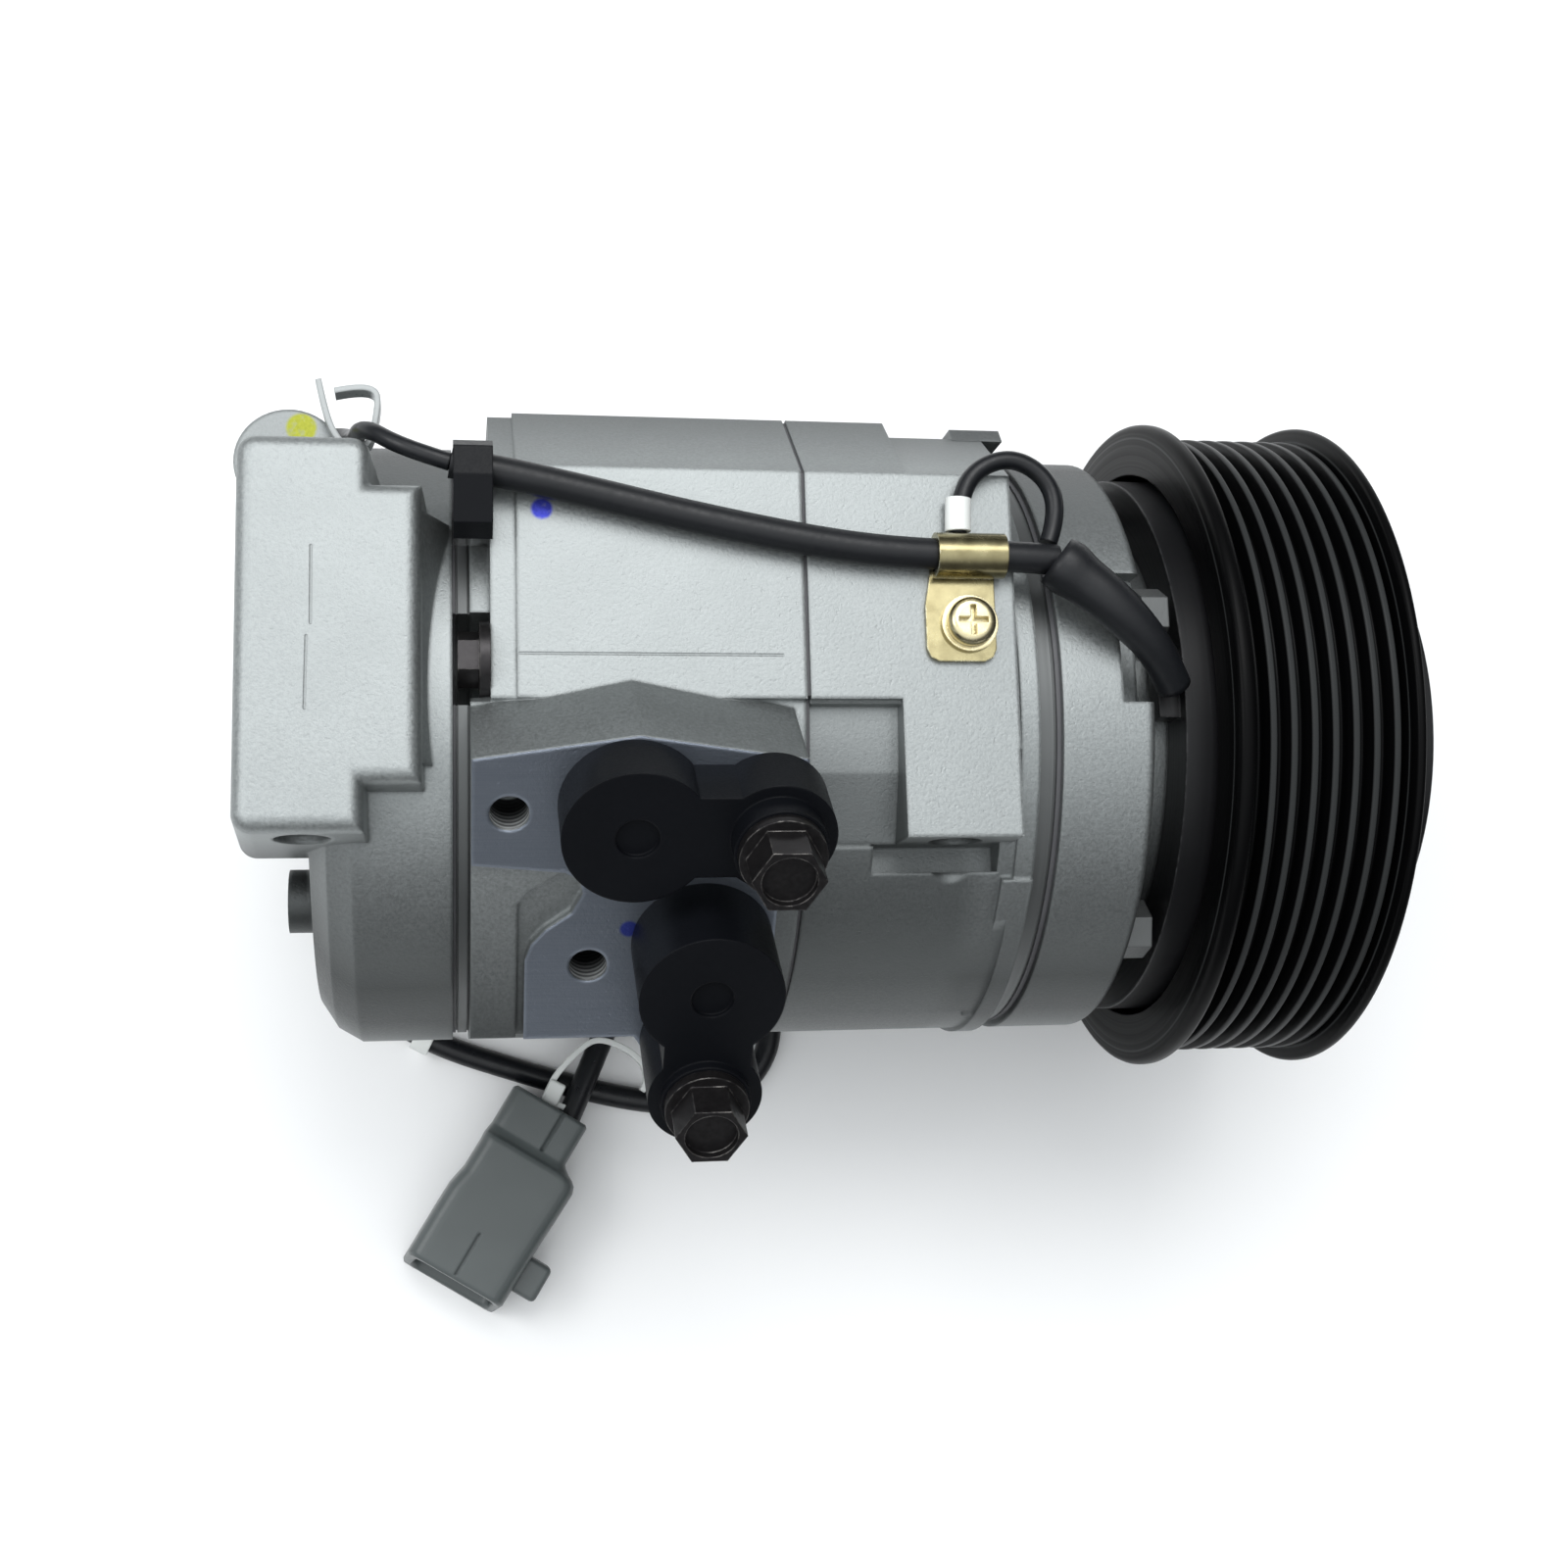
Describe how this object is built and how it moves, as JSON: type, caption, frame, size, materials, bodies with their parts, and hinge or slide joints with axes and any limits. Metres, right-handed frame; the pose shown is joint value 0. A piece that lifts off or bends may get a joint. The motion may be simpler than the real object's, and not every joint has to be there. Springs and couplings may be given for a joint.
{
  "type": "automotive air-conditioning compressor",
  "caption": "Swash-plate refrigerant compressor with an electromagnetic clutch, ribbed belt pulley, capped hose ports, side mounting lugs and a wired coil connector.",
  "frame": {"origin": "on the shaft axis, in the middle plane of the drive belt", "axes": "+X along the shaft towards the clutch; +Z is the side with the flat muffler face; the mounting bolts run along Y"},
  "size_m": [0.2036, 0.1645, 0.1449],
  "materials": {
    "cast_aluminium": "sand-cast and blasted",
    "bare_steel": "ground",
    "zinc_steel": "zinc plated",
    "black_steel": "black electrocoat",
    "bolt_steel": "black phosphate",
    "chromate_steel": "yellow chromate",
    "black_plastic": "moulded",
    "grey_plastic": "moulded",
    "white_nylon": null,
    "black_rubber": "matt",
    "gasket": "coated",
    "coil_resin": "potted",
    "contact_metal": "tinned"
  },
  "bodies": {
    "root": {"front_housing": "cast_aluminium", "front_cylinder_block": "cast_aluminium", "rear_cylinder_block": "cast_aluminium", "rear_housing": "cast_aluminium", "centre_gasket": "gasket", "front_valve_plate": "bare_steel", "rear_valve_plate": "bare_steel", "front_reeds": "bare_steel", "rear_reeds": "bare_steel", "front_head_gasket": "gasket", "rear_head_gasket": "gasket", "through_bolts": "zinc_steel", "muffler_bolts": "bolt_steel", "suction_port_cap": "black_plastic", "discharge_port_cap": "black_plastic", "port_seals": "black_rubber", "cap_bolts": "bolt_steel", "relief_valve": "zinc_steel", "field_coil_shell": "black_steel", "field_coil_winding": "coil_resin", "coil_snap_ring": "bare_steel", "coil_lead_boot": "black_rubber", "bearing_inner_ring": "bare_steel", "bearing_snap_ring": "bare_steel", "piston_1": "cast_aluminium", "piston_2": "cast_aluminium", "piston_3": "cast_aluminium", "piston_4": "cast_aluminium", "piston_5": "cast_aluminium", "shaft_seal": "black_rubber", "seal_snap_ring": "bare_steel", "harness_sleeve": "black_rubber", "harness_lead": "black_rubber", "connector_tube": "black_rubber", "earth_lead": "black_rubber", "harness_clip": "black_plastic", "harness_clamp": "chromate_steel", "clamp_screw": "chromate_steel", "connector_housing": "grey_plastic", "connector_pins": "contact_metal"},
    "pulley_rotor": {"pulley": "black_steel", "bearing_outer_ring": "bare_steel", "bearing_seals": "black_rubber"},
    "ball_set": {"bearing_balls": "bare_steel", "bearing_cage": "black_plastic"},
    "shaft_line": {"shaft": "bare_steel", "swash_plate": "bare_steel", "piston_shoes": "bare_steel", "clutch_hub": "black_steel", "hub_shim": "bare_steel", "hub_bolt": "zinc_steel", "damper_ring": "black_rubber", "damper_plate": "black_steel", "leaf_springs": "bare_steel"},
    "armature": {"armature_plate": "bare_steel", "armature_rivets": "zinc_steel"},
    "thrust_rollers": {"front_thrust_bearing": "bare_steel", "rear_thrust_bearing": "bare_steel"},
    "radial_rollers": {"front_radial_bearing": "bare_steel", "rear_radial_bearing": "bare_steel"}
  },
  "joints": [
    {"name": "pulley_spin", "type": "hinge", "parent": "root", "child": "pulley_rotor", "pos_m": [0, 0, 0], "axis": [1, 0, 0], "continuous": true},
    {"name": "ball_set_spin", "type": "hinge", "parent": "root", "child": "ball_set", "pos_m": [0, 0, 0], "axis": [1, 0, 0], "continuous": true},
    {"name": "shaft_spin", "type": "hinge", "parent": "root", "child": "shaft_line", "pos_m": [0, 0, 0], "axis": [1, 0, 0], "continuous": true},
    {"name": "clutch_engage", "type": "slide", "parent": "shaft_line", "child": "armature", "axis": [-1, 0, 0], "range_m": [0, 0.0005], "stiffness_N_per_m": 12000},
    {"name": "thrust_roller_spin", "type": "hinge", "parent": "root", "child": "thrust_rollers", "pos_m": [0, 0, 0], "axis": [1, 0, 0], "continuous": true},
    {"name": "radial_roller_spin", "type": "hinge", "parent": "root", "child": "radial_rollers", "pos_m": [0, 0, 0], "axis": [1, 0, 0], "continuous": true}
  ],
  "couplings": [
    {"joint": "ball_set_spin", "follows": "pulley_spin", "ratio": 0.5667},
    {"joint": "thrust_roller_spin", "follows": "shaft_spin", "ratio": 0.5},
    {"joint": "radial_roller_spin", "follows": "shaft_spin", "ratio": 0.4211}
  ]
}
